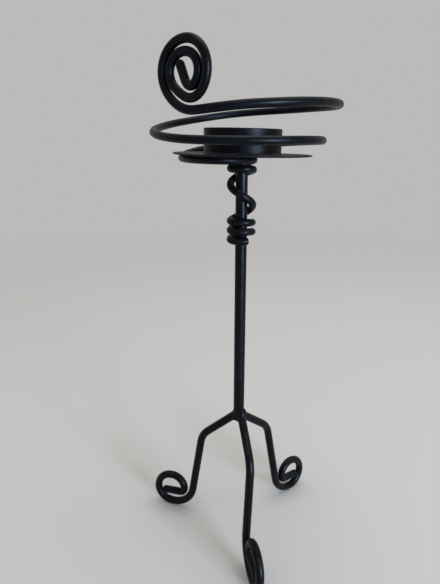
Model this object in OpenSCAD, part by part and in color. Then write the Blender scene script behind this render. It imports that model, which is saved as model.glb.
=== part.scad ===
// Candle stand bent and welded from round steel rod: a scroll-footed tripod, an upright stem, a drip pan
// with a cup for one tealight, and one long wire that winds up the stem, rings the cup and ends in a scroll.
// Z is up and the feet stand on z = 0. Azimuths run counter-clockwise from +X, seen from above.

/* [Stem] */
// Diameter of the upright rod
stem_d = 6.5; // [5.5:0.1:9]
// Length of the upright rod
stem_length = 159; // [120:1:240]
// Height of the upright rod's lower end above the table
stem_base = 81.5; // [72:0.5:110]
// Chamfer of the upright rod's lower end
stem_chamfer = 0.8; // [0.2:0.1:1.5]

/* [Legs] */
// Diameter of the leg rod
leg_d = 5; // [3.5:0.1:5.3]
// Height of the left and right legs' centre lines above the stem's lower end, where they meet the stem
leg_seat = 2; // [1.6:0.1:6]
// Radius of the bend between a leg's upper and lower straight stretches
leg_bend_r = 16; // [8:0.5:24]
// Azimuth of the left leg
left_azimuth = 156; // [140:1:175]
// Slope of the left leg's upper stretch below level
left_slope = 42; // [30:1:50]
// Length of the left leg's upper straight stretch
left_reach = 24.5; // [15:0.5:35]
// Slope of the left leg's lower stretch below level
left_lower_slope = 80.5; // [72:0.5:88]
// Azimuth of the right leg
right_azimuth = 42; // [38:0.5:50]
// Slope of the right leg's upper stretch below level
right_slope = 38; // [30:1:50]
// Length of the right leg's upper straight stretch
right_reach = 24; // [15:0.5:35]
// Slope of the right leg's lower stretch below level
right_lower_slope = 77.5; // [72:0.5:88]
// Azimuth of the front leg
front_azimuth = -76; // [-90:0.5:-65]
// Slope of the front leg's upper stretch below level
front_slope = 38; // [30:1:50]
// Length of the front leg's upper straight stretch
front_reach = 22; // [15:0.5:35]
// Slope of the front leg's lower stretch below level
front_lower_slope = 87; // [72:0.5:88]
// Height of the front leg's joint above those of the other two
front_rise = 1; // [0:0.1:4]
// Distance of the front leg's joint to the right of the stem's middle
front_side = 0.9; // [0:0.1:1.4]
// Sideways lean of the front leg away from upright
front_lean = 3.2; // [0:0.2:8]

/* [Feet] */
// Radius of the sweep from a leg's lower stretch to the table
foot_sweep_r = 18.5; // [18.5:0.5:24]
// Radius of the foot's outer lower quarter
foot_outer_r = 9.3; // [9.2:0.1:12]
// Radius of the foot's top outer quarter
foot_top_r = 12.5; // [12:0.1:12.9]
// Radius of the foot's top inner quarter
foot_inner_r = 8.3; // [7.5:0.1:8.4]
// Radius of the foot's innermost curl
foot_curl_r = 4; // [3.6:0.1:4.2]
// Turn of the foot's innermost curl
foot_curl_turn = 82; // [70:1:90]
// Length of the straight bar inside the foot, without its round tip
foot_end = 11.5; // [6:0.5:11.5]

/* [Wire] */
// Diameter of the wound wire
wire_d = 4; // [2.5:0.1:4.2]
// Gap between the stem and the wire wound on it
wrap_play = 0.95; // [0.5:0.05:1.5]
// Gap between neighbouring tight turns on the stem
wrap_gap = 1.1; // [0.8:0.1:2]
// Tight turns at the lower end of the winding
low_turns = 2.46; // [1.46:1:4.46]
// Turns of the stretch that climbs the stem
climb_turns = 1.22; // [1:0.02:1.6]
// Extra height gained in the climbing stretch
climb_rise = 17.8; // [12:0.2:28]
// Tight turns at the upper end of the winding
high_turns = 1.16; // [0.9:0.02:1.4]
// Height by which each tight turn leans up and down
wrap_lean = 0.9; // [0:0.1:1.2]
// Gap between the wire and the pan's underside where the wire leaves the stem
leave_gap = 0.4; // [0.3:0.1:1.5]

/* [Scroll] */
// Mean radius at the start of the scroll
scroll_r = 15.3; // [14.6:0.1:19]
// Gap between the scroll's turns
scroll_gap = 0.85; // [0.8:0.05:1.6]
// Turns of the scroll before its last tight bend
scroll_turns = 1.87; // [1.85:0.01:1.9]
// Amount by which the scroll is oval
scroll_oval = 0.3; // [0:0.1:0.8]
// Amount by which each turn of the scroll is more oval than the last
scroll_oval_growth = 0.2; // [0:0.1:0.4]
// Amount by which the scroll is three-cornered
scroll_lobe = 0.3; // [0:0.1:0.6]
// Sideways drift of the scroll's centre
scroll_drift = 2.1; // [0:0.1:2.4]
// Radius of the last tight bend
scroll_bend_r = 3; // [2.4:0.1:3.2]
// Length by which the wire's straight end is shorter than the room across the innermost turn
scroll_end_less = 8.3; // [8.2:0.1:12]

/* [Pan and cup] */
// Diameter of the drip pan
pan_d = 73; // [60:0.5:90]
// Thickness of the drip pan
pan_t = 0.8; // [0.6:0.1:2]
// Inner diameter of the cup, which takes a tealight 38 across
cup_bore = 39.2; // [38.6:0.1:45]
// Height of the cup, with its floor
cup_height = 12.5; // [8:0.5:20]
// Thickness of the cup's wall and floor
cup_t = 0.8; // [0.6:0.1:1.5]
// Tilt of the pan and the cup, down to the right
pan_tilt = 1.2; // [0:0.1:2]

/* [Welds] */
// Radius of the weld bead round each leg's joint
leg_bead_r = 3.2; // [3.2:0.1:3.6]
// Height by which the front leg's weld runs up the stem
front_bead_rise = 3.2; // [0:0.2:5]
// Radius of the weld bead between the wire and the stem
wire_bead_r = 1.6; // [1.4:0.1:2]
// Size of the weld fillet under the pan
pan_fillet = 1.3; // [0.8:0.1:1.6]
// Size of the weld fillet round the cup's foot
cup_fillet = 1; // [0.6:0.1:1.5]

/* [Hidden] */

PAINT = [0.07, 0.07, 0.085];
WELD_PAINT = [0.1, 0.1, 0.12];
ROUND = 96;

stem_r = stem_d / 2;
stem_top = stem_base + stem_length;
leg_r = leg_d / 2;
wire_r = wire_d / 2;
pan_r = pan_d / 2;
cup_r = cup_bore / 2 + cup_t;

// ---- Paths and tubes ----

LEG_SIDES = 12;
LEG_ARC_STEP = 10;
WIRE_SIDES = 10;
WRAP_STEPS = 24;
RING_STEPS = 48;
SCROLL_ARC_STEP = 12;
BEND_ARC_STEP = 18;

function unit(v) = v / norm(v);
function last(list) = list[len(list) - 1];
function smooth(t) = let (u = max(0, min(1, t))) u * u * (3 - 2 * u);
function direction(azimuth) = [cos(azimuth), sin(azimuth), 0];
function left_of(azimuth) = direction(azimuth + 90);

// Points of one move in a plane: [length, 0] is a straight stretch and [radius, turn] is an arc.
function move_points(p, heading, move, arc_step) =
    move[1] == 0 ? [p + move[0] * [cos(heading), sin(heading)]] :
    let (
        side = sign(move[1]) * move[0],
        centre = p + side * [-sin(heading), cos(heading)],
        count = ceil(abs(move[1]) / arc_step)
    )
    [for (i = [1 : count]) let (h = heading + move[1] * i / count) centre + side * [sin(h), -cos(h)]];

// Points of a chain of moves, without its start.
function walk(p, heading, moves, arc_step, i = 0) =
    i == len(moves) ? [] :
    let (done = move_points(p, heading, moves[i], arc_step))
    concat(done, walk(last(done), heading + moves[i][1], moves, arc_step, i + 1));

function tangent(path, i) = unit(path[min(i + 1, len(path) - 1)] - path[max(i - 1, 0)]);

// A pair of normals at each point, carried along the path without twist.
function frames(path, normal) = [
    for (
        i = 0, t = tangent(path, 0), n = unit(normal - (normal * t) * t);
        i < len(path);
        i = i + 1, t = tangent(path, min(i, len(path) - 1)), n = unit(n - (n * t) * t)
    )
    [n, cross(t, n)]
];

function ring_points(middle, r, sides, frame) = [for (k = [0 : sides - 1])
    middle + r * (cos(360 * k / sides) * frame[0] + sin(360 * k / sides) * frame[1])];

// Rings of a rod along a path, then those of the round tip beyond the path's end.
TIP_ANGLES = [25, 50, 75];
function tube_points(path, r, sides, normal) =
    let (frame = frames(path, normal), ahead = tangent(path, len(path) - 1))
    concat(
        [for (i = [0 : len(path) - 1]) each ring_points(path[i], r, sides, frame[i])],
        [for (a = TIP_ANGLES)
            each ring_points(last(path) + r * sin(a) * ahead, r * cos(a), sides, last(frame))]
    );

function tube_faces(rings, sides) = concat(
    [for (k = [1 : sides - 2]) [0, k, k + 1]],
    [for (k = [1 : sides - 2]) (rings - 1) * sides * [1, 1, 1] + [0, k + 1, k]],
    [for (i = [0 : rings - 2]) for (k = [0 : sides - 1]) for (half = [0, 1])
        let (a = i * sides + k, b = i * sides + (k + 1) % sides)
        half == 0 ? [a, a + sides, b + sides] : [a, b + sides, b]]
);

function lengths(path) = [
    for (i = 0, s = 0; i < len(path); i = i + 1, s = s + norm(path[min(i, len(path) - 1)] - path[i - 1])) s
];
function to_segment(p, a, b) =
    let (d = b - a, t = max(0, min(1, ((p - a) * d) / (d * d))))
    norm(p - a - t * d);

// Least gap between stretches of a rod that lie more than GAP_APART diameters apart along it.
GAP_APART = 3;
function least_gap(path, d) =
    let (along = lengths(path))
    min([for (i = [0 : len(path) - 1]) for (j = [0 : len(path) - 2])
        if (max(along[j] - along[i], along[i] - along[j + 1]) > GAP_APART * d)
            to_segment(path[i], path[j], path[j + 1])]) - d;

module tube(points, sides) {
    polyhedron(points, tube_faces(len(points) / sides, sides), convexity = 10);
}

// The first rings of a tube, for cutting its seat out of a weld.
function first_rings(points, sides, rings) = [for (i = [0 : rings * sides - 1]) points[i]];

// ---- Legs ----

// A leg is [azimuth, upper slope, reach, lower slope, joint height, side offset, lean].
leg_z = stem_base + leg_seat;
LEFT = [left_azimuth, left_slope, left_reach, left_lower_slope, leg_z, 0, 0];
RIGHT = [right_azimuth, right_slope, right_reach, right_lower_slope, leg_z, 0, 0];
FRONT = [front_azimuth, front_slope, front_reach, front_lower_slope, leg_z + front_rise, front_side,
    front_lean];

// Each leg starts inside the stem, whose surface then cuts its end to shape.
LEG_START_SHARE = 0.6;
leg_start = LEG_START_SHARE * stem_r;

function leg_bend(leg) = [[leg[2] + leg_start, 0], [leg_bend_r, leg[1] - leg[3]]];

// The lower stretch is as long as it takes for the foot to reach the table.
function leg_profile(leg) =
    let (
        start = [stem_r - leg_start * cos(leg[1]), leg[4] + leg_start * sin(leg[1])],
        knee = last(walk(start, -leg[1], leg_bend(leg), LEG_ARC_STEP)),
        foot_drop = foot_sweep_r * (1 - cos(leg[3])),
        lower = (knee[1] - foot_drop - leg_r) / sin(leg[3]),
        foot = [[lower, 0], [foot_sweep_r, leg[3]], [foot_outer_r, 90], [foot_top_r, 90],
            [foot_inner_r, 90], [foot_curl_r, foot_curl_turn], [foot_end, 0]]
    )
    concat([start], walk(start, -leg[1], concat(leg_bend(leg), foot), LEG_ARC_STEP));

// A point at a distance along the leg's azimuth and a height, moved sideways by the leg's offset and lean.
function leg_place(leg, reach, z) =
    reach * direction(leg[0]) + (leg[5] + tan(leg[6]) * (z - leg[4])) * left_of(leg[0]) + [0, 0, z];

function leg_path(leg) = [for (p = leg_profile(leg)) leg_place(leg, p[0], p[1])];
function leg_points(leg) = tube_points(leg_path(leg), leg_r, LEG_SIDES, [0, 0, 1]);
echo(least_gaps_of_the_legs_to_themselves =
    [for (leg = [LEFT, RIGHT, FRONT]) least_gap(leg_path(leg), leg_d)]);

BEAD_OUT = 0.3;
left_points = leg_points(LEFT);
right_points = leg_points(RIGHT);
front_points = leg_points(FRONT);

// The upper ends of the legs with the given points.
LEG_END_RINGS = 2;
module leg_ends(legs) {
    for (points = legs) tube(first_rings(points, LEG_SIDES, LEG_END_RINGS), LEG_SIDES);
}

// A leg, coped to the stem and to the legs that were welded on before it.
module leg(points, before) {
    color(PAINT) difference() {
        tube(points, LEG_SIDES);
        stem_rod();
        leg_ends(before);
    }
}

module bead(leg, rise = 0) {
    for (z = rise > 0 ? [0, rise] : [0])
        translate(leg_place(leg, stem_r + BEAD_OUT, leg[4] + z)) sphere(leg_bead_r, $fn = ROUND);
}

// A bead round a leg's joint, its first child, cut by the stem, the rods and the beads laid before it.
module leg_weld() {
    color(WELD_PAINT) difference() {
        children(0);
        stem_rod();
        leg_ends([left_points, right_points, front_points]);
        children([1 : 1 : $children - 1]);
    }
}

module left_leg_weld() {
    leg_weld() {
        bead(LEFT);
    }
}

module right_leg_weld() {
    leg_weld() {
        bead(RIGHT);
        bead(LEFT);
    }
}

module front_leg_weld() {
    leg_weld() {
        bead(FRONT, front_bead_rise);
        bead(LEFT);
        bead(RIGHT);
    }
}

// ---- Stem, pan and cup ----

// Places its children on the tilted plane of the pan's underside, through the middle of the stem's top.
module on_stem_top() {
    translate([0, 0, stem_top]) rotate([0, pan_tilt, 0]) children();
}

module stem_rod() {
    difference() {
        union() {
            translate([0, 0, stem_base])
                cylinder(h = stem_chamfer, r1 = stem_r - stem_chamfer, r2 = stem_r, $fn = ROUND);
            translate([0, 0, stem_base + stem_chamfer])
                cylinder(h = stem_length - stem_chamfer + pan_fillet, d = stem_d, $fn = ROUND);
        }
        on_stem_top() cylinder(h = 2 * stem_d, r = stem_d, $fn = ROUND);
    }
}

module stem() {
    color(PAINT) stem_rod();
}

module drip_pan() {
    color(PAINT) on_stem_top() cylinder(h = pan_t, r = pan_r, $fn = 2 * ROUND);
}

module candle_cup() {
    color(PAINT) on_stem_top() translate([0, 0, pan_t]) difference() {
        cylinder(h = cup_height, r = cup_r, $fn = 2 * ROUND);
        translate([0, 0, cup_t]) cylinder(h = cup_height, d = cup_bore, $fn = 2 * ROUND);
    }
}

// The weld runs a little way inside the stem's surface, which then cuts it.
WELD_BITE = 0.1;
module pan_weld() {
    color(WELD_PAINT) difference() {
        on_stem_top() mirror([0, 0, 1])
            cylinder(h = pan_fillet, r1 = stem_r + pan_fillet, r2 = stem_r - WELD_BITE, $fn = ROUND);
        stem_rod();
    }
}

module cup_weld() {
    color(WELD_PAINT) on_stem_top() translate([0, 0, pan_t]) rotate_extrude($fn = 2 * ROUND)
        polygon([[cup_r, 0], [cup_r + cup_fillet, 0], [cup_r, cup_fillet]]);
}

// ---- Wire ----

// The wire is followed by its turns since it left the stem, clockwise seen from above, from azimuth 0.
wrap_r = stem_r + wrap_play + wire_r;
wrap_pitch = wire_d + wrap_gap;
leave_z = stem_top - leave_gap - wire_r;
LEAN_AZIMUTH = -16;

function wire_at(turn, r, z) = [r * cos(360 * turn), -r * sin(360 * turn), z];
function lean_z(turn) = wrap_lean * cos(360 * turn + LEAN_AZIMUTH);
function wrap_z(turn) =
    leave_z + wrap_pitch * turn + lean_z(turn) - lean_z(0)
    - climb_rise * (1 - smooth((turn + high_turns) / climb_turns + 1));

wrap_total = low_turns + climb_turns + high_turns;
wrap_count = ceil(wrap_total * WRAP_STEPS);
wrap_path = [for (i = [0 : wrap_count - 1]) let (t = wrap_total * (i / wrap_count - 1))
    wire_at(t, wrap_r, wrap_z(t))];

// Way out under the pan: turns, share of the way from the winding to the pan's rim, rise since the stem.
WAY_OUT = [[0, 0, 0], [0.125, 0.04, 0], [0.25, 0.16, 0.15], [0.375, 0.48, 0.45],
    [0.5, 0.71, 0.7], [0.54, 0.79, 0.7], [0.575, 0.9, 0.8], [0.595, 0.965, 1.8]];
// Way round the cup: turns, gap beyond the pan's rim, height of the wire's middle above the pan's underside.
WAY_ROUND = [[0.625, 1.5, 0.9], [0.667, 2.2, 2.6], [0.75, 2.6, 4.2], [0.875, 2.1, 6.2],
    [1, 2.3, 7.2], [1.125, 4, 7.6], [1.25, 5, 7.5], [1.375, 6.6, 8.4], [1.5, 7.6, 12.2],
    [1.625, 8.3, 17.7], [1.75, 9.3, 22.8], [1.875, 9.6, 24.5], [2, 10, 24.4], [2.125, 9.6, 24],
    [2.25, 10.6, 22.1], [2.3, 10.9, 20.7]];

rim_r = pan_r + wire_r;
RIM_PASS = 2;
function way_out_r(share) = wrap_r + (rim_r + RIM_PASS - wrap_r) * share;

// ---- Scroll at the wire's end ----

// The scroll stands in the upright plane that touches the last ring at SCROLL_TURN.
SCROLL_TURN = 2.361;
SCROLL_START = -12;
SCROLL_BACK = 7.6;
SCROLL_END_SLOPE = 67;
SCROLL_OUT = 11.1;
SCROLL_RISE = 20.1;
scroll_ring_r = rim_r + SCROLL_OUT;
scroll_low_z = stem_top + SCROLL_RISE;
OVAL_ANGLE = 125;
LOBE_ANGLE = 220;
DRIFT_ANGLE = 184;

function scroll_reach(a) = scroll_r - (wire_d + scroll_gap) * a / 360
    + (scroll_oval + scroll_oval_growth * a / 360) * cos(2 * (a - OVAL_ANGLE))
    + scroll_lobe * cos(3 * (a - LOBE_ANGLE)) + scroll_drift * cos(a - DRIFT_ANGLE);
scroll_z = scroll_low_z + scroll_reach(0);
function scroll_flat(a) = [scroll_reach(a) * sin(a) - SCROLL_BACK, scroll_z - scroll_reach(a) * cos(a)];

// The first stretch still follows the ring, and so bows in from the scroll's plane.
function scroll_place(p, bow) =
    wire_at(SCROLL_TURN, scroll_ring_r - (bow ? pow(p[0], 2) / (2 * scroll_ring_r) : 0), p[1])
    + p[0] * direction(-360 * SCROLL_TURN - 90);

scroll_last = 360 * scroll_turns;
scroll_count = ceil((scroll_last - SCROLL_START) / SCROLL_ARC_STEP);
scroll_angles = [for (i = [0 : scroll_count]) SCROLL_START + (scroll_last - SCROLL_START) * i / scroll_count];
scroll_turn_out = scroll_flat(scroll_last) - scroll_flat(scroll_last - 1);
scroll_heading = atan2(scroll_turn_out[1], scroll_turn_out[0]);
scroll_room = scroll_reach(scroll_last) + scroll_reach(scroll_last - 180);
scroll_tail = walk(scroll_flat(scroll_last), scroll_heading,
    [[scroll_bend_r, SCROLL_END_SLOPE - scroll_heading], [scroll_room - scroll_end_less, 0]], BEND_ARC_STEP);

scroll_path = concat(
    [for (a = scroll_angles) let (p = scroll_flat(a)) scroll_place(p, a < 90 && p[0] < 0)],
    [for (p = scroll_tail) scroll_place(p, false)]
);

// Turns at which the ring passes over to a point of the scroll's first stretch.
function scroll_turn(a) = SCROLL_TURN + scroll_flat(a)[0] / scroll_ring_r / (2 * PI);
function scroll_key(a) = [scroll_turn(a), scroll_ring_r, scroll_flat(a)[1]];

// Keys are [turns, radius, height]; a cubic through them has no kink.
keys = concat(
    [[-0.125, wrap_r, wrap_z(-0.125)]],
    [for (k = WAY_OUT) [k[0], way_out_r(k[1]), leave_z + k[2]]],
    [for (k = WAY_ROUND) [k[0], rim_r + k[1], stem_top + k[2]]],
    [scroll_key(SCROLL_START), scroll_key(SCROLL_START / 2)]
);

function key_slope(i) = (keys[i + 1] - keys[i - 1]) / (keys[i + 1][0] - keys[i - 1][0]);
function key_blend(i, u) =
    let (width = keys[i + 1][0] - keys[i][0])
    (1 + 2 * u) * pow(1 - u, 2) * keys[i] + u * pow(1 - u, 2) * width * key_slope(i)
    + u * u * (3 - 2 * u) * keys[i + 1] + u * u * (u - 1) * width * key_slope(i + 1);

ring_path = [for (i = [1 : len(keys) - 3])
    let (count = ceil((keys[i + 1][0] - keys[i][0]) * RING_STEPS - 0.01))
    for (j = [0 : count - 1]) let (k = key_blend(i, j / count)) wire_at(k[0], k[1], k[2])];

wire_path = concat(wrap_path, ring_path, scroll_path);
wire_points = tube_points(wire_path, wire_r, WIRE_SIDES, [0, 0, 1]);

echo(least_gap_of_the_wire_to_itself = least_gap(wire_path, wire_d));

module scroll_wire() {
    color(PAINT) tube(wire_points, WIRE_SIDES);
}

TAIL_WELD_RING = 0;
TOP_WELD_RING = wrap_count - 9;

// A small bead between the stem and the wire wound on it, cut by both.
WIRE_BEAD_SIDES = 12;
module wire_weld(ring) {
    centre = wire_path[ring];
    near = [for (i = [max(0, ring - 3) * WIRE_SIDES : (ring + 4) * WIRE_SIDES - 1]) wire_points[i]];
    color(WELD_PAINT) difference() {
        translate([0, 0, centre[2]] + unit([centre[0], centre[1], 0]) * (stem_r + wrap_play / 2))
            sphere(wire_bead_r, $fn = WIRE_BEAD_SIDES);
        stem_rod();
        tube(near, WIRE_SIDES);
    }
}

// ---- Middle of the outline, seen from above ----

outline = concat(left_points, right_points, front_points, wire_points);
function middle(axis) = (min([for (p = outline) p[axis]]) + max([for (p = outline) p[axis]])) / 2;

module placed() {
    translate([-middle(0), -middle(1), 0]) children();
}

placed() stem();
placed() leg(left_points, []);  // left_leg
placed() leg(right_points, [left_points]);  // right_leg
placed() leg(front_points, [left_points, right_points]);  // front_leg
placed() scroll_wire();
placed() drip_pan();
placed() candle_cup();
placed() left_leg_weld();
placed() right_leg_weld();
placed() front_leg_weld();
placed() wire_weld(TAIL_WELD_RING);  // wire_tail_weld
placed() wire_weld(TOP_WELD_RING);  // wire_top_weld
placed() pan_weld();
placed() cup_weld();
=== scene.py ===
"""Candle stand of black painted steel rod: three scroll feet, a stem, a pan with a cup, and one long wire
that winds up the stem, rings the cup and ends in a scroll. Its lengths are worked out in millimetres round
the stem's axis, and turned to metres in the model's frame when a surface is put into its mesh. Named angles
are in degrees. The places and sizes of the camera, the floor and the lamps are in metres."""
import math

import bpy
import numpy as np
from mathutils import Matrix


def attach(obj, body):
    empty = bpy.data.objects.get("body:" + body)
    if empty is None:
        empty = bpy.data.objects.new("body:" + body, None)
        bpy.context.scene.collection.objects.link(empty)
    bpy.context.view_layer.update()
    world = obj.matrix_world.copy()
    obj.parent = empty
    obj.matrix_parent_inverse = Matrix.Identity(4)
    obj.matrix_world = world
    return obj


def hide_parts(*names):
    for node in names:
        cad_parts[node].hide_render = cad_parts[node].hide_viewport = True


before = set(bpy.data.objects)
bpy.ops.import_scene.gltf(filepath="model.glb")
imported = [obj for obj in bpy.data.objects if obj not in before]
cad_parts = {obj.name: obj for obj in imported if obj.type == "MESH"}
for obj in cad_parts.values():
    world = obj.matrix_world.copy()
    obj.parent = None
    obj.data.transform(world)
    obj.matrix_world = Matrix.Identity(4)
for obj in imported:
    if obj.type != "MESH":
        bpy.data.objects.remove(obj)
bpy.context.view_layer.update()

MM = 0.001
# The photograph's size in pixels, the focal length in pixels and the sensor in millimetres.
PHOTO = (440, 584)
FOCAL_PIXELS = 483
SENSOR = 36
# The camera looks along y, tilted down by this angle.
CAMERA_PLACE = (-0.00794, -0.26036, 0.2485)
CAMERA_TILT = 17.55
CLIP_START = 0.01

# ---- Sizes of the stand ----

# Where the stem's axis stands in the model's frame.
STEM_AXIS = np.array([3.719, 4.143, 0])
STEM_R = 3.25
STEM_BASE = 81.5
STEM_LENGTH = 159
STEM_TOP = STEM_BASE + STEM_LENGTH
STEM_EDGE = 0.8
# The stem's skin ends this far below the pan.
STEM_SHORT = 0.02

LEG_R = 2.5
LEG_EDGE = 0.35
LEG_BEND_R = 16
LEG_Z = STEM_BASE + 2
# Length of rod inside the stem.
LEG_START = 0.6 * STEM_R
FOOT_SWEEP_R = 18.5
# Radius and turn of each arc in the ring and the curl of a foot.
FOOT_TURNS = ((9.3, 90), (12.5, 90), (8.3, 90), (4, 82))
FOOT_END = 11.5
# Azimuth, slopes of the upper and the lower run, length of the upper run outside the stem, height where it
# meets the stem's side, and how far the leg stands and leans to its left.
LEGS = {
    "left": dict(azimuth=156, slope=42, reach=24.5, lower=80.5, z=LEG_Z, side=0, lean=0),
    "right": dict(azimuth=42, slope=38, reach=24, lower=77.5, z=LEG_Z, side=0, lean=0),
    "front": dict(azimuth=-76, slope=38, reach=22, lower=87, z=LEG_Z + 1, side=0.9, lean=3.2),
}

WIRE_R = 2
WIRE_EDGE = 0.3
WRAP_GAP = 0.95
WRAP_R = STEM_R + WRAP_GAP + WIRE_R
WRAP_PITCH = 5.1
LOW_TURNS = 2.46
CLIMB_TURNS = 1.22
CLIMB_RISE = 17.8
HIGH_TURNS = 1.16
WRAP_TURNS = LOW_TURNS + CLIMB_TURNS + HIGH_TURNS
WRAP_LEAN = 0.9
LEAN_AZIMUTH = -16
# Gap between the wire and the pan where the wire leaves the stem.
LEAVE_GAP = 0.4
LEAVE_Z = STEM_TOP - LEAVE_GAP - WIRE_R

PAN_R = 36.5
PAN_T = 0.8
PAN_TILT = 1.2
PAN_BEND = 0.1
PAN_BEND_PHASE = 0.7
CUP_BORE_R = 19.6
CUP_T = 0.8
CUP_R = CUP_BORE_R + CUP_T
CUP_HEIGHT = 12.5
CUP_FOOT_R = 0.5
CUP_LIP_R = CUP_T / 2 - 0.02
CUP_FLOOR_R = 0.7

RIM_R = PAN_R + WIRE_R
# How far past the rim the way out would reach at its full share.
RIM_PASS = 2
# The first key lies on the winding, this many turns before the wire leaves the stem.
KEY_BEFORE = 0.125
# Turns since the stem, share of the way out, rise.
WAY_OUT = np.array([
    [0, 0, 0], [0.125, 0.04, 0], [0.25, 0.16, 0.15], [0.375, 0.48, 0.45], [0.5, 0.71, 0.7],
    [0.54, 0.79, 0.7], [0.575, 0.9, 0.8], [0.595, 0.965, 1.8]])
# Turns since the stem, gap beyond the pan's rim, height above the pan's underside.
WAY_ROUND = np.array([
    [0.625, 1.5, 0.9], [0.667, 2.2, 2.6], [0.75, 2.6, 4.2], [0.875, 2.1, 6.2], [1, 2.3, 7.2], [1.125, 4, 7.6],
    [1.25, 5, 7.5], [1.375, 6.6, 8.4], [1.5, 7.6, 12.2], [1.625, 8.3, 17.7], [1.75, 9.3, 22.8],
    [1.875, 9.6, 24.5], [2, 10, 24.4], [2.125, 9.6, 24], [2.25, 10.6, 22.1], [2.3, 10.9, 20.7]])

# The scroll's plane touches the last ring at this many turns, and its centre lies this far back in it.
SCROLL_TURN = 2.361
SCROLL_BACK = 7.6
SCROLL_OUT = 11.1
SCROLL_RING_R = RIM_R + SCROLL_OUT
SCROLL_RISE = 20.1
SCROLL_LOW_Z = STEM_TOP + SCROLL_RISE
# Angles at which it starts and ends, counted from straight down.
SCROLL_START = -12
SCROLL_TURNS = 1.87
SCROLL_LAST = 360 * SCROLL_TURNS
SCROLL_R = 15.3
SCROLL_GAP = 0.85
SCROLL_PITCH = 2 * WIRE_R + SCROLL_GAP
# Its waves of two, three and one to the turn, and the angles at which they are highest.
SCROLL_OVAL = 0.3
SCROLL_OVAL_GROWTH = 0.2
SCROLL_LOBE = 0.3
SCROLL_DRIFT = 2.1
OVAL_ANGLE = 125
LOBE_ANGLE = 220
DRIFT_ANGLE = 184
# The bend and the straight bar at its inner end.
SCROLL_BEND_R = 3
SCROLL_END_SLOPE = 67
SCROLL_END_LESS = 8.3

# ---- Sizes of the welds ----

# Share of the width, number round and phase in radians of each wave in a weld's edge.
LEG_WELD_WAVES = ((0.13, 5, 1), (0.07, 11, 2))
RING_WELD_WAVES = ((0.12, 7, 0.5), (0.07, 17, 0), (0.05, 43, 0))
LEG_WELD_WIDTH = 1.5
PAN_WELD_WIDTH = 1.3
CUP_WELD_WIDTH = 1.0
# How deep a weld's edges lie in the metal, and the point inside it through which its skin closes.
LEG_WELD_SINK = 0.12
WALL_SINK = 0.08
PAN_SINK = 0.05
LEG_WELD_DEPTH = 0.5
RING_WELD_DEPTH = 0.25
# A leg's weld bends at this share of the way from the joint to the middle of its edges, with ripples in the
# share, and swells by this much.
LEG_WELD_PULL = 0.75
LEG_WELD_RIPPLE = 0.2
LEG_WELD_RIPPLES = 24
LEG_WELD_SWELL = 0.1
RING_WELD_PULL = 0.25
# The least height of a leg's weld above the stem's lower end.
LEG_WELD_LIFT = 0.1
# Shares of a lump's reach.
LUMP_TWIST = 0.06
LUMP_SWELL = 0.05
LUMP_RIPPLE = 0.02
FRONT_LUMP_OUT = 0.2
FRONT_LUMP_RISE = 1.8
FRONT_LUMP_RADII = (3.0, 3.0, 4.7)
TACK_OUT = 0.5
TACK_RADII = (1.7, 1.7, 1.9)
# Radians of phase for each turn of the winding, so that the two tacks differ.
TACK_PHASE = 10
TOP_TACK_TURN = -0.372
# Keeps a length from being nought.
TINY = 1e-6

# ---- How finely the skins are divided ----

# Degrees of an arc and millimetres of a run between points.
ARC_STEP = 1
RUN_STEP = 0.5
LEG_STEP = 0.4
WIRE_STEP = 0.5
STEM_STEP = 1.5
# Steps within which a bend is eased.
LEG_EASE = 2
WIRE_EASE = 3
WRAP_POINTS = 900
RING_POINTS = 1600
SCROLL_POINTS = 700
STEM_SIDES = 64
LEG_SIDES = 40
WIRE_SIDES = 32
SHEET_SIDES = 192
# Circles in a rounded edge, the angle in radians that they go through, just short of a quarter turn, and the
# room that they keep from the path's points: a share of the edge's size, and a little more at the far end.
EDGE_ROWS = 8
EDGE_TURN = 0.49 * np.pi
EDGE_ROOM = 1.2
TIP_ROOM = 0.05
# Radii of the rings of points on the flat of the pan and of the cup's floor.
PAN_RINGS = (1, 8, 16, 24, 30, 34)
PAN_RIM_ROOM = 0.3
PAN_RIM_POINTS = 9
CUP_RINGS = (1, 8, 14)
CUP_FLOOR_ROOM = 0.2
CUP_WALL_LOW = 1.2
CUP_WALL_ROOM = 1
CUP_WALL_ROWS = 8
CUP_INSIDE_UP = 0.4
LEG_WELD_POINTS = 180
RING_WELD_POINTS = 240
LUMP_ROWS = 40
LUMP_SIDES = 56

# ---- Arrays, paths and skins ----


def cosd(a):
    """The cosine of an angle in degrees."""
    return np.cos(np.radians(a))


def sind(a):
    """The sine of an angle in degrees."""
    return np.sin(np.radians(a))


def angles_round(count):
    """Equal angles once round, in radians: a turn times the numbers below the count over the count."""
    return 2 * np.pi * np.arange(count) / count


def spokes(a):
    """A level vector of length one at each angle in radians: its cosine, its sine and nought."""
    return np.stack([np.cos(a), np.sin(a), 0 * a], 1)


def wavy(a, waves):
    """One plus, for each wave, its share times the sine of its number times the angle plus its phase."""
    return sum((share * np.sin(number * a + phase) for share, number, phase in waves), 1)


def unit(v):
    """Each row divided by its length."""
    return v / np.linalg.norm(v, axis=-1, keepdims=True)


def direction(azimuth):
    """The level vector of length one at an azimuth."""
    return np.array([cosd(azimuth), sind(azimuth), 0.0])


def smooth(t):
    """3t^2 - 2t^3 between 0 and 1, and level outside."""
    t = np.clip(t, 0, 1)
    return t * t * (3 - 2 * t)


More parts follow.
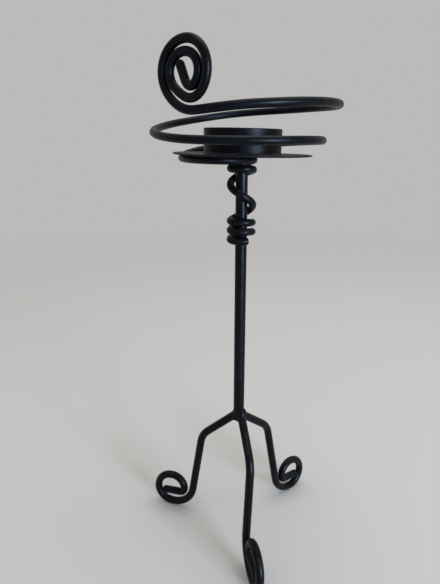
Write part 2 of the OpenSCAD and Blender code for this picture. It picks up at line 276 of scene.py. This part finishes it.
def chain(start, heading, moves):
    """Points of straight runs (length, 0) and arcs (radius, turn) in a plane, each tangent to the last: an
    arc's points are its centre plus its radius turned through equal small angles."""
    path, p = [np.array([start], float)], np.array(start, float)
    for size, turn in moves:
        if turn:
            side = math.copysign(size, turn)
            centre = p + side * np.array([-sind(heading), cosd(heading)])
            h = heading + turn * np.linspace(0, 1, int(abs(turn) / ARC_STEP) + 2)[1:]
            path.append(centre + side * np.stack([sind(h), -cosd(h)], 1))
        else:
            s = size * np.linspace(0, 1, int(size / RUN_STEP) + 2)[1:, None]
            path.append(p + s * np.array([cosd(heading), sind(heading)]))
        p, heading = path[-1][-1], heading + turn
    return np.concatenate(path)


def distance_along(path):
    """The distance along a path to each of its points: the running sum of the lengths between them."""
    return np.concatenate([[0], np.cumsum(np.linalg.norm(np.diff(path, axis=0), axis=1))])


def even(path, step):
    """The path's points moved to equal distances along it, by straight lines between its points."""
    along = distance_along(path)
    s = np.linspace(0, along[-1], int(along[-1] / step) + 1)
    return np.stack([np.interp(s, along, path[:, a]) for a in range(path.shape[1])], 1)


def eased(path, reach):
    """Each point replaced by the bell-weighted mean of its neighbours, the ends held by mirrored points."""
    n = 3 * reach
    w = np.exp(-0.5 * (np.arange(-n, n + 1) / reach) ** 2)
    padded = np.concatenate([2 * path[0] - path[n:0:-1], path, 2 * path[-1] - path[-2:-n - 2:-1]])
    return np.stack([np.convolve(padded[:, a], w / w.sum(), "valid") for a in range(3)], 1)


def skin(grid, ends="poles"):
    """The points, the four-cornered faces and the three-cornered faces of a closed skin over a grid whose
    columns run round. The rows either end in poles, which are the means of the first and the last row, or run
    round into a ring. The faces at the first pole come first."""
    rows, columns = grid.shape[:2]
    i, k = np.meshgrid(np.arange(rows if ends == "ring" else rows - 1), np.arange(columns), indexing="ij")
    j, m = (i + 1) % rows, (k + 1) % columns
    quads = np.stack([i * columns + k, i * columns + m, j * columns + m, j * columns + k], -1).reshape(-1, 4)
    points = grid.reshape(-1, 3)
    if ends == "ring":
        return points, quads, np.empty((0, 3), int)
    first, last = rows * columns, rows * columns + 1
    points = np.concatenate([points, [grid[0].mean(0)], [grid[-1].mean(0)]])
    k, m = k[0], m[0]
    top = (rows - 1) * columns
    low = np.stack([np.full(columns, first), m, k], 1)
    high = np.stack([np.full(columns, last), top + k, top + m], 1)
    return points, quads, np.concatenate([low, high])


def swept(points, faces):
    """Six times the volume between the origin and the faces: the sum over their triangles of one corner
    dotted with the cross product of the other two."""
    corners = [points[faces[:, c]] for c in range(faces.shape[1])]
    return sum((corners[0] * np.cross(b, c)).sum() for b, c in zip(corners[1:], corners[2:]))


def new_mesh(name, points, quads, triangles):
    """A mesh of points in metres and of faces with four and with three corners."""
    mesh = bpy.data.meshes.new(name)
    mesh.from_pydata(points.tolist(), [], quads.tolist() + triangles.tolist())
    return mesh


def new_object(name, data):
    """An object that shows a mesh, a lamp or a camera in the scene."""
    thing = bpy.data.objects.new(name, data)
    bpy.context.scene.collection.objects.link(thing)
    return thing


def rod_grid(path, radius, sides, reference):
    """Circles carried along a path: the point at angle a of circle i is path[i] + radius[i] (cos a N + sin a
    B), where N is the reference made square to the tangent and B is the tangent crossed with N."""
    t = unit(np.gradient(path, axis=0))
    n = unit(reference - (reference * t).sum(1, keepdims=True) * t)
    b = np.cross(t, n)
    a = angles_round(sides)
    circle = np.cos(a)[None, :, None] * n[:, None] + np.sin(a)[None, :, None] * b[:, None]
    return path[:, None] + radius[:, None, None] * circle


def cut_rod(path, r, edge, sides, reference, tip=0.0):
    """A rod whose cut ends have rounded edges: near an end the radius follows a quarter circle, of the edge's
    size at the start, and at the far end of the size of the tip, which stands out beyond the path."""
    far, q = tip or edge, np.linspace(0, EDGE_TURN, EDGE_ROWS)
    t0, t1 = unit(path[1] - path[0]), unit(path[-1] - path[-2])
    low = path[0] + np.outer(edge * (1 - np.sin(q)), t0)
    high = path[-1] + np.outer(tip - far * (1 - np.sin(q)), t1)
    along = distance_along(path)
    keep = (along > edge * EDGE_ROOM) & (along < along[-1] - (far - tip) * EDGE_ROOM - TIP_ROOM)
    whole = np.concatenate([low[::-1], path[keep], high])
    radius = np.concatenate([(r - edge * (1 - np.cos(q)))[::-1], np.full(keep.sum(), float(r)),
        r - far * (1 - np.cos(q))])
    first, last = (np.repeat(reference[[end]], EDGE_ROWS, 0) for end in (0, -1))
    return rod_grid(whole, radius, sides, np.concatenate([first, reference[keep], last]))


def lathe_grid(profile, sides, wobble=None):
    """A profile of (radius, height) turned round the axis. A wobble adds a height that depends on radius and
    angle."""
    a = angles_round(sides)
    r, z = profile[:, :1], np.repeat(profile[:, 1:], sides, 1)
    if wobble is not None:
        z = z + wobble(r, a[None])
    return np.stack([r * np.cos(a), r * np.sin(a), z], -1)


def profile_run(r, z):
    """Points of a straight stretch of a profile, where the radius or the height may be one number for all."""
    return np.stack(np.broadcast_arrays(r, z), 1)


def corner(centre, r, start, end, count=7):
    """Points of a rounded corner in a profile: centre + r (cos a, sin a) from one angle to the other."""
    a = np.linspace(start, end, count)
    return np.array(centre) + r * np.stack([cosd(a), sind(a)], 1)


def on_stem_top(grid):
    """Points of the pan's own frame turned down to the right by its tilt, and raised to the stem's top."""
    c, s = cosd(PAN_TILT), sind(PAN_TILT)
    x, y, z = grid[..., 0], grid[..., 1], grid[..., 2]
    return np.stack([c * x + s * z, y, c * z - s * x + STEM_TOP], -1)


# ---- Routes of the rods ----


def leg_place(leg, reach, z):
    """Points at distances along the leg's azimuth and at heights, moved to its left by the leg's offset plus
    the tangent of its lean times the height above its joint."""
    out, left = direction(leg["azimuth"]), direction(leg["azimuth"] + 90)
    sideways = leg["side"] + math.tan(math.radians(leg["lean"])) * (z - leg["z"])
    return reach[:, None] * out + sideways[:, None] * left + z[:, None] * np.array([0, 0, 1.0])


def leg_route(leg):
    """A straight run down from the stem, a bend, a steeper straight run as long as it takes to reach the
    floor, a sweep along it, three quarters of a ring, a tight curl and an almost level bar in the ring."""
    start = [STEM_R - LEG_START * cosd(leg["slope"]), leg["z"] + LEG_START * sind(leg["slope"])]
    top = [(leg["reach"] + LEG_START, 0), (LEG_BEND_R, leg["slope"] - leg["lower"])]
    knee = chain(start, -leg["slope"], top)[-1]
    drop = FOOT_SWEEP_R * (1 - cosd(leg["lower"]))
    lower = (knee[1] - drop - LEG_R) / sind(leg["lower"])
    foot = [(lower, 0), (FOOT_SWEEP_R, leg["lower"]), *FOOT_TURNS, (FOOT_END, 0)]
    flat = chain(start, -leg["slope"], top + foot)
    return eased(even(leg_place(leg, flat[:, 0], flat[:, 1]), LEG_STEP), LEG_EASE)


def wire_at(turn, r, z):
    """A point a number of turns round the stem's axis, clockwise seen from above, at a distance from it and a
    height."""
    return np.stack([r * np.cos(2 * np.pi * turn), -r * np.sin(2 * np.pi * turn), z + 0 * turn], -1)


def wrap_z(turn):
    """An even climb that leans a little on each turn and rises by a smooth extra step in the middle."""
    lean = WRAP_LEAN * (cosd(360 * turn + LEAN_AZIMUTH) - cosd(LEAN_AZIMUTH))
    climb = CLIMB_RISE * (1 - smooth((turn + HIGH_TURNS) / CLIMB_TURNS + 1))
    return LEAVE_Z + WRAP_PITCH * turn + lean - climb


def scroll_reach(a):
    """A reach that shrinks evenly with the angle, plus waves of two, three and one to the turn, which pull
    the scroll oval, more so further in, make it a little three-cornered and let its centre drift."""
    oval = (SCROLL_OVAL + SCROLL_OVAL_GROWTH * a / 360) * cosd(2 * (a - OVAL_ANGLE))
    lobe, drift = SCROLL_LOBE * cosd(3 * (a - LOBE_ANGLE)), SCROLL_DRIFT * cosd(a - DRIFT_ANGLE)
    return SCROLL_R - SCROLL_PITCH * a / 360 + oval + lobe + drift


def scroll_flat(a):
    """The scroll in its own plane: its centre plus the reach at an angle counted from straight down."""
    reach = scroll_reach(a)
    return np.stack([reach * sind(a) - SCROLL_BACK, SCROLL_Z - reach * cosd(a)], -1)


def scroll_place(p, bow):
    """Points of the scroll's plane, which touches the last ring. Where bow is true they move in to follow the
    ring, by the square of their distance over twice the ring's radius."""
    r = SCROLL_RING_R - np.where(bow, p[:, 0] ** 2 / (2 * SCROLL_RING_R), 0)
    return wire_at(np.full(len(p), SCROLL_TURN), r, p[:, 1]) + p[:, :1] * direction(-360 * SCROLL_TURN - 90)


SCROLL_Z = SCROLL_LOW_Z + scroll_reach(0)
SCROLL_END = scroll_reach(SCROLL_LAST) + scroll_reach(SCROLL_LAST - 180) - SCROLL_END_LESS


def ring_keys():
    """Keys of turns, radius and height from the winding's end, out under the pan and round the cup, to the
    scroll's start."""
    out = np.stack([WAY_OUT[:, 0], WRAP_R + (RIM_R + RIM_PASS - WRAP_R) * WAY_OUT[:, 1],
        LEAVE_Z + WAY_OUT[:, 2]], 1)
    around = WAY_ROUND + [0, RIM_R, STEM_TOP]
    first = [[-KEY_BEFORE, WRAP_R, wrap_z(-KEY_BEFORE)]]
    on = scroll_flat(np.array([SCROLL_START, SCROLL_START / 2]))
    last = np.stack([SCROLL_TURN + on[:, 0] / SCROLL_RING_R / (2 * np.pi), [SCROLL_RING_R] * 2, on[:, 1]], 1)
    return np.concatenate([first, out, around, last])


def ring_route(keys, count):
    """A cubic through all keys but the first and the last, whose slope at each key is that of the line
    between its two neighbours."""
    slope = (keys[2:] - keys[:-2]) / (keys[2:, :1] - keys[:-2, :1])
    inner = keys[1:-1]
    turn = np.linspace(inner[0, 0], inner[-1, 0], count, endpoint=False)
    i = np.clip(np.searchsorted(inner[:, 0], turn, "right") - 1, 0, len(inner) - 2)
    width = (inner[i + 1, 0] - inner[i, 0])[:, None]
    u = (turn[:, None] - inner[i, :1]) / width
    k = ((1 + 2 * u) * (1 - u) ** 2 * inner[i] + u * (1 - u) ** 2 * width * slope[i]
        + u * u * (3 - 2 * u) * inner[i + 1] + u * u * (u - 1) * width * slope[i + 1])
    return wire_at(k[:, 0], k[:, 1], k[:, 2])


def wire_route():
    """The winding, the rings, the scroll, and the bend and the straight bar at its end, in one even path."""
    turn = np.linspace(-WRAP_TURNS, 0, WRAP_POINTS, endpoint=False)
    wrap = wire_at(turn, WRAP_R, wrap_z(turn))
    ring = ring_route(ring_keys(), RING_POINTS)
    a = np.linspace(SCROLL_START, SCROLL_LAST, SCROLL_POINTS)
    flat = scroll_flat(a)
    scroll = scroll_place(flat, (a < 90) & (flat[:, 0] < 0))
    heading = math.degrees(math.atan2(*(flat[-1] - flat[-2])[::-1]))
    end = chain(flat[-1], heading, [(SCROLL_BEND_R, SCROLL_END_SLOPE - heading), (SCROLL_END, 0)])
    path = np.concatenate([wrap, ring, scroll, scroll_place(end[1:], False)])
    return eased(even(path, WIRE_STEP), WIRE_EASE)


# ---- Paint ----


class Value:
    """A shader socket on which Python's plus, minus and times add Math nodes."""

    def __init__(self, nodes, socket):
        self.nodes, self.socket = nodes, socket

    def _maths(self, operation, *values):
        """A Math node's operation on sockets and numbers."""
        return self.nodes.node("ShaderNodeMath", {"operation": operation}, dict(enumerate(values)))

    def __add__(self, other):
        return self._maths("ADD", self, other)

    def __mul__(self, other):
        return self._maths("MULTIPLY", self, other)

    def __sub__(self, other):
        return self._maths("SUBTRACT", self, other)

    def __rsub__(self, other):
        return self._maths("SUBTRACT", other, self)

    __radd__, __rmul__ = __add__, __mul__

    def step(self, low, high):
        """0 below low, 1 above high, and smooth between."""
        return self.nodes.node("ShaderNodeMapRange", {"interpolation_type": "SMOOTHSTEP", "clamp": True},
            {"Value": self, "From Min": low, "From Max": high})


class Nodes:
    """The node tree of a material or the world, filled through one method."""

    def __init__(self, owner):
        owner.use_nodes = True
        self.tree = owner.node_tree
        self.tree.nodes.clear()

    def node(self, kind, settings=None, sockets=None, out=0):
        """A node of a type: its settings are set first, then the values or links of its sockets."""
        made = self.tree.nodes.new(kind)
        for name, value in (settings or {}).items():
            setattr(made, name, value)
        for name, value in (sockets or {}).items():
            if isinstance(value, Value):
                self.tree.links.new(value.socket, made.inputs[name])
            else:
                made.inputs[name].default_value = value
        return Value(self, made.outputs[out]) if made.outputs else None

    def noise(self, size, detail=2.0, roughness=0.5):
        """Soft noise on the piece's own coordinates, with lumps about size millimetres across."""
        place = self.node("ShaderNodeTexCoord", out="Object")
        return self.node("ShaderNodeTexNoise", None,
            {"Vector": place, "Scale": 1 / (size * MM), "Detail": detail, "Roughness": roughness})

    def axis_z(self, vector):
        """The height in a vector."""
        return self.node("ShaderNodeSeparateXYZ", None, {0: vector}, "Z")

    def mix(self, factor, a, b):
        """Colour a where the factor is 0 and b where it is 1. Sockets 6, 7 and 2 are the node's colours."""
        return self.node("ShaderNodeMix", {"data_type": "RGBA"}, {"Factor": factor, 6: a, 7: b}, 2)

    def bump(self, height, depth, under=None):
        """A bump of a depth in millimetres, over another."""
        sockets = {"Height": height, "Distance": depth * MM}
        return self.node("ShaderNodeBump", None, sockets if under is None else {**sockets, "Normal": under})


BLACK = (0.0008, 0.0008, 0.0013, 1)
BLUE_BLACK = (0.0015, 0.002, 0.0042, 1)
SHEEN = (0.8, 0.9, 1, 1)
DUST = (0.06, 0.057, 0.052, 1)
STEEL = (0.16, 0.152, 0.145, 1)

# Sizes of lumps in millimetres, and the levels of noise between which each effect sets in.
PATCH_PER_WAVE = 2.2
PATCH_LEVELS = (0.35, 0.7)
SPECK_SIZE = 0.55
SPECK_LEVELS = (0.47, 0.68)
CLOUD_SIZE = 9.0
CLOUD_LEVELS = (0.36, 0.66)
WEAR_SIZE = 1.4
WEAR_LEVELS = (0.4, 0.55)
# How far up a surface faces for dust to lie on it, and the dust's share between and on its specks.
DUST_FACING = (0.35, 0.95)
DUST_BETWEEN = 0.25
DUST_ON_SPECKS = 0.55
# Heights over the floor between which the wear under the feet fades out.
WEAR_HEIGHTS = (0.25 * MM, 0.8 * MM)
WORN_METAL = 0.85
# What each effect adds to the roughness, and what the wear takes off it.
PATCH_ROUGHER = 0.06
GRAIN_ROUGHER = 0.05
DUST_ROUGHER = 0.25
WORN_SMOOTHER = 0.05
PAINT_SHINE = 0.12


def satin_black(name, peel, peel_depth, wave, wave_depth, gloss, dust):
    """Satin black paint over steel: two blacks in soft patches, a fine orange peel over slow waves in the
    coat, uneven gloss, dust that settles where the surface faces up, and bare steel worn under the feet."""
    material = bpy.data.materials.new(name)
    p = Nodes(material)
    patch = p.noise(wave * PATCH_PER_WAVE, detail=3.0).step(*PATCH_LEVELS)
    grain = p.noise(peel)
    speck = p.noise(SPECK_SIZE, detail=4.0, roughness=0.7).step(*SPECK_LEVELS)
    cloud = p.noise(CLOUD_SIZE).step(*CLOUD_LEVELS)
    up = p.axis_z(p.node("ShaderNodeNewGeometry", out="Normal"))
    height = p.axis_z(p.node("ShaderNodeTexCoord", out="Object"))
    dusty = up.step(*DUST_FACING) * (speck * DUST_ON_SPECKS + DUST_BETWEEN) * cloud * dust
    flakes = p.noise(WEAR_SIZE, detail=4.0, roughness=0.65).step(*WEAR_LEVELS)
    worn = (1 - height.step(*WEAR_HEIGHTS)) * flakes
    colour = p.mix(worn, p.mix(dusty, p.mix(patch, BLACK, BLUE_BLACK), DUST), STEEL)
    rough = gloss + PATCH_ROUGHER * patch + GRAIN_ROUGHER * grain
    rough = rough + DUST_ROUGHER * dusty - WORN_SMOOTHER * worn
    coat = p.bump(grain, peel_depth, p.bump(p.noise(wave), wave_depth))
    shader = p.node("ShaderNodeBsdfPrincipled", None, {
        "Base Color": colour, "Roughness": rough, "Metallic": worn * WORN_METAL, "Normal": coat,
        "Specular IOR Level": PAINT_SHINE, "Specular Tint": SHEEN})
    p.node("ShaderNodeOutputMaterial", None, {"Surface": shader})
    return material


# Sizes and depths of the orange peel and the waves in millimetres, the roughness, and the share of dust.
PAINT_COATS = {
    "rod": dict(peel=0.9, peel_depth=0.05, wave=6, wave_depth=0.25, gloss=0.32, dust=0.6),
    "wire": dict(peel=0.8, peel_depth=0.05, wave=5, wave_depth=0.2, gloss=0.33, dust=0.6),
    "sheet": dict(peel=0.7, peel_depth=0.035, wave=9, wave_depth=0.15, gloss=0.36, dust=1.0),
    "weld": dict(peel=0.6, peel_depth=0.12, wave=1.8, wave_depth=0.3, gloss=0.35, dust=0.6),
}
PAINTS = {
    metal + "_paint": satin_black("satin_black_on_" + metal, **coat) for metal, coat in PAINT_COATS.items()}

# ---- Pieces ----


def put(name, grid, node, slot, ends="poles"):
    """A closed skin in the model's frame, in place of a solid of the frame. Its faces are turned round where
    the volume that they sweep is negative, so that they point outwards."""
    points, quads, triangles = skin(grid, ends)
    if swept(points, quads) + swept(points, triangles) < 0:
        quads, triangles = quads[:, ::-1], triangles[:, ::-1]
    mesh = new_mesh(name, (points + STEM_AXIS) * MM, quads, triangles)
    mesh.polygons.foreach_set("use_smooth", np.ones(len(mesh.polygons), bool))
    mesh.materials.append(PAINTS[slot])
    piece = new_object(name, mesh)
    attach(piece, "root")
    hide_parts(node)


def put_stem():
    """A rod straight up the axis, with a point at each step and one just below the pan."""
    z = np.append(np.arange(STEM_BASE, STEM_TOP, STEM_STEP), STEM_TOP - STEM_SHORT)
    path = np.stack([0 * z, 0 * z, z], 1)
    rings = cut_rod(path, STEM_R, STEM_EDGE, STEM_SIDES, np.tile(direction(0), (len(path), 1)))
    put("stem_bar", rings, "stem", "rod_paint")


def put_leg(name, leg):
    """A rod along the leg's route, with a cut edge in the stem and a round tip in the foot."""
    path = leg_route(leg)
    side = np.tile(direction(leg["azimuth"] + 90), (len(path), 1))
    rings = cut_rod(path, LEG_R, LEG_EDGE, LEG_SIDES, side, LEG_R)
    put(name + "_leg_bar", rings, name + "_leg", "rod_paint")


def put_wire():
    """A rod along the wire's route, its circles squared to the way out from the axis, with a round tip."""
    path = wire_route()
    rings = cut_rod(path, WIRE_R, WIRE_EDGE, WIRE_SIDES, unit(path * [1, 1, 0]), WIRE_R)
    put("wound_wire", rings, "scroll_wire", "wire_paint")


def put_pan():
    """A disc with a half-round rim, very slightly bent out of flat: its height rises and falls twice round,
    with the square of the radius."""
    half = PAN_T / 2
    r = np.array([*PAN_RINGS, PAN_R - half - PAN_RIM_ROOM])
    rim = corner((PAN_R - half, half), half, -90, 90, PAN_RIM_POINTS)
    profile = np.concatenate([profile_run(r, 0), rim, profile_run(r, PAN_T)[::-1]])

    def bent(r, a):
        return PAN_BEND * (r / PAN_R) ** 2 * np.cos(2 * a + PAN_BEND_PHASE)

    put("pan_sheet", on_stem_top(lathe_grid(profile, SHEET_SIDES, bent)), "drip_pan", "sheet_paint")


def put_cup():
    """A straight-walled shell with a rounded lip and small radii inside and outside the foot of its wall."""
    wall = np.linspace(CUP_WALL_LOW, CUP_HEIGHT - CUP_WALL_ROOM, CUP_WALL_ROWS)
    floor = np.array([*CUP_RINGS, CUP_BORE_R - CUP_FLOOR_R - CUP_FLOOR_ROOM])
    lip_z = CUP_HEIGHT - CUP_LIP_R
    profile = np.concatenate([
        profile_run(floor, 0), corner((CUP_R - CUP_FOOT_R, CUP_FOOT_R), CUP_FOOT_R, -90, 0),
        profile_run(CUP_R, wall), corner((CUP_R - CUP_LIP_R, lip_z), CUP_LIP_R, 0, 90),
        corner((CUP_BORE_R + CUP_LIP_R, lip_z), CUP_LIP_R, 90, 180),
        profile_run(CUP_BORE_R, wall + CUP_INSIDE_UP)[::-1],
        corner((CUP_BORE_R - CUP_FLOOR_R, CUP_T + CUP_FLOOR_R), CUP_FLOOR_R, 0, -90),
        profile_run(floor, CUP_T)[::-1]])
    put("cup_shell", on_stem_top(lathe_grid(profile + [0, PAN_T], SHEET_SIDES)), "candle_cup", "sheet_paint")


def bead_rows(a, between, b, inner, rows=9):
    """A bead's skin from one edge to the other: a quadratic curve through the pull of a middle point, closed
    through a point inside the metal."""
    t = np.linspace(0, 1, rows)[:, None, None]
    return np.concatenate([(1 - t) ** 2 * a + 2 * t * (1 - t) * between + t * t * b, inner[None]])


def put_leg_weld(name, leg):
    """A fillet round the line where a leg's rod runs into the stem: the line is found by sliding each point
    of the rod's circle along the rod until it is a stem's radius from the axis. From it the fillet reaches
    down the rod and away over the stem, where it stops at the stem's lower end."""
    reach = np.array([STEM_R, STEM_R + cosd(leg["slope"])])
    joint, below = leg_place(leg, reach, leg["z"] - np.array([0, sind(leg["slope"])]))
    u = unit(below - joint)
    n = unit(np.array([0, 0, 1.0]) - u[2] * u)
    a = angles_round(LEG_WELD_POINTS)
    e = np.cos(a)[:, None] * n + np.sin(a)[:, None] * np.cross(u, n)
    p = joint + LEG_R * e
    # The slide s solves square s^2 + linear s + rest = 0.
    square, linear = u[0] ** 2 + u[1] ** 2, 2 * (p[:, 0] * u[0] + p[:, 1] * u[1])
    rest = p[:, 0] ** 2 + p[:, 1] ** 2 - STEM_R ** 2
    slide = (-linear + np.sqrt(np.maximum(linear ** 2 - 4 * square * rest, 0))) / (2 * square)
    line = p + slide[:, None] * u
    around = np.arctan2(line[:, 1], line[:, 0])
    out = spokes(around)
    ahead = np.cross([0, 0, 1.0], out)
    away = unit(np.stack([(e * ahead).sum(1), e[:, 2]], 1) + TINY)
    w = LEG_WELD_WIDTH * wavy(a, LEG_WELD_WAVES)
    on_leg = line + w[:, None] * u - LEG_WELD_SINK * e
    z = np.maximum(line[:, 2] + w * away[:, 1], STEM_BASE + LEG_WELD_LIFT)
    on_stem = (STEM_R - LEG_WELD_SINK) * spokes(around + w * away[:, 0] / STEM_R)
    on_stem[:, 2] = z
    pull = (LEG_WELD_PULL + LEG_WELD_RIPPLE * np.sin(LEG_WELD_RIPPLES * a))[:, None]
    between = line + pull * ((on_leg + on_stem) / 2 - line) + LEG_WELD_SWELL * (e + out)
    rows = bead_rows(on_leg, between, on_stem, line - LEG_WELD_DEPTH * (e + out))
    put(name + "_leg_fillet", rows, name + "_leg_weld", "weld_paint", "ring")


def put_lump(name, centre, radii, node, phase=0.0):
    """A lump of weld metal: an ellipsoid whose reach swells and shrinks a little round it and down it, by
    sines of the angle u down from its top and the angle v round it."""
    down = np.pi * (np.arange(LUMP_ROWS) + 0.5) / LUMP_ROWS
    u, v = np.meshgrid(down, angles_round(LUMP_SIDES), indexing="ij")
    twist = LUMP_TWIST * np.sin(u) * np.sin(2 * v + 3 * u + phase)
    swell = LUMP_SWELL * np.sin(u) ** 2 * np.sin(3 * v + 1 + phase)
    reach = 1 + twist + swell + LUMP_RIPPLE * np.sin(9 * u + phase)
    grid = np.stack([np.sin(u) * np.cos(v), np.sin(u) * np.sin(v), np.cos(u)], -1) * reach[..., None]
    put(name, grid * radii + centre, node, "weld_paint")


def put_wire_weld(name, turn, node):
    """A small lump between the stem and the wire, at a number of turns of the winding."""
    at = wire_at(np.array(turn), WRAP_R, wrap_z(turn))
    centre = unit(at * [1, 1, 0]) * (STEM_R + TACK_OUT) + [0, 0, at[2]]
    put_lump(name, centre, np.array(TACK_RADII), node, TACK_PHASE * turn)


def put_ring_weld(name, foot, width, height, down, node):
    """A concave weld ring round a foot radius, on the pan's top or hanging from its underside. Its width
    ripples round it."""
    a = angles_round(RING_WELD_POINTS)
    w = (width * wavy(a, RING_WELD_WAVES))[:, None]
    side = spokes(a)
    up = np.array([0, 0, -1.0 if down else 1.0])
    base = foot * side + [0, 0, height]
    on_wall, on_pan = base + w * up - WALL_SINK * side, base + w * side - PAN_SINK * up
    between, inner = base + RING_WELD_PULL * w * (side + up), base - RING_WELD_DEPTH * (side + up)
    put(name, on_stem_top(bead_rows(on_wall, between, on_pan, inner)), node, "weld_paint", "ring")


def put_front_lump(leg):
    """The lump of weld metal where the front leg laps the stem, a little out from and above their joint."""
    reach, z = np.array([STEM_R + FRONT_LUMP_OUT]), np.array([leg["z"] + FRONT_LUMP_RISE])
    put_lump("front_leg_lump", leg_place(leg, reach, z)[0], np.array(FRONT_LUMP_RADII), "front_leg_weld")


put_stem()
for name, leg in LEGS.items():
    put_leg(name, leg)
    put_leg_weld(name, leg)
put_wire()
put_pan()
put_cup()
put_front_lump(LEGS["front"])
put_wire_weld("wire_tail_tack", -WRAP_TURNS, "wire_tail_weld")
put_wire_weld("wire_top_tack", TOP_TACK_TURN, "wire_top_weld")
put_ring_weld("pan_fillet", STEM_R, PAN_WELD_WIDTH, 0, True, "pan_weld")
put_ring_weld("cup_fillet", CUP_R, CUP_WELD_WIDTH, PAN_T, False, "cup_weld")

# ---- Stage, light and camera ----

FLOOR = (0.62, 0.61, 0.595, 1)
SKY = (0.5, 0.495, 0.485, 1)
FLOOR_SIDES = 96
FLOOR_RINGS = (0.05, 0.5, 2, 8, 30)
FLOOR_ROUGHNESS = 0.75
FLOOR_SHINE = 0.2
# Distances from the origin between which the floor fades into the sky.
FLOOR_FADE = (0.4, 1.2)

# The point that the lamps face.
AIM = (0, 0, 0.16)
LAMPS = {
    "window": dict(place=(1.54, -1.97, 0.3), width=0.88, height=1.0, power=115, colour=(0.68, 0.83, 1.0)),
    "ceiling": dict(place=(0.2, 0.1, 1.6), width=1.2, height=1.2, power=9, colour=(1.0, 0.97, 0.93)),
}


def put_floor():
    """A level disc of rings round the origin, plain near the stand and clear far from it."""
    a, r = angles_round(FLOOR_SIDES), np.array(FLOOR_RINGS)[:, None]
    points, quads, triangles = skin(np.stack([r * np.cos(a), r * np.sin(a), 0 * r * a], -1))
    # The disc has no second pole, and its faces are turned to look up.
    mesh = new_mesh("floor", points[:-1], quads[:, ::-1], triangles[:FLOOR_SIDES, ::-1])
    material = bpy.data.materials.new("plain_floor")
    p = Nodes(material)
    plain = p.node("ShaderNodeBsdfPrincipled", None,
        {"Base Color": FLOOR, "Roughness": FLOOR_ROUGHNESS, "Specular IOR Level": FLOOR_SHINE})
    away = p.node("ShaderNodeVectorMath", {"operation": "LENGTH"},
        {0: p.node("ShaderNodeTexCoord", out="Object")}, "Value")
    clear = p.node("ShaderNodeBsdfTransparent")
    p.node("ShaderNodeOutputMaterial", None,
        {"Surface": p.node("ShaderNodeMixShader", None, {0: away.step(*FLOOR_FADE), 1: plain, 2: clear})})
    mesh.materials.append(material)
    new_object("floor", mesh)


def put_lamp(name, place, width, height, power, colour):
    """An oblong lamp that faces the aim: it tilts by the angle of that line from straight down, and turns by
    the line's azimuth less a quarter turn."""
    light = bpy.data.lights.new(name, "AREA")
    light.shape, light.size, light.size_y = "RECTANGLE", width, height
    light.energy, light.color = power, colour
    lamp = new_object(name, light)
    lamp.location = place
    towards = np.array(AIM) - np.array(place)
    lamp.rotation_euler = (math.atan2(np.hypot(*towards[:2]), -towards[2]), 0,
        math.atan2(towards[1], towards[0]) - math.pi / 2)


def put_camera():
    """The photograph's camera: its focal length is to the sensor as that in pixels is to the longer side."""
    camera = bpy.data.cameras.new("camera")
    camera.sensor_width = SENSOR
    camera.lens = FOCAL_PIXELS / max(PHOTO) * SENSOR
    camera.clip_start = CLIP_START
    view = new_object("camera", camera)
    view.location = CAMERA_PLACE
    view.rotation_euler = (math.radians(90 - CAMERA_TILT), 0, 0)
    bpy.context.scene.camera = view


put_floor()
for name, lamp in LAMPS.items():
    put_lamp(name, **lamp)
put_camera()

world = bpy.data.worlds.new("studio")
bpy.context.scene.world = world
sky = Nodes(world)
sky.node("ShaderNodeOutputWorld", None, {"Surface": sky.node("ShaderNodeBackground", None, {"Color": SKY})})
bpy.context.scene.view_settings.view_transform = "Standard"
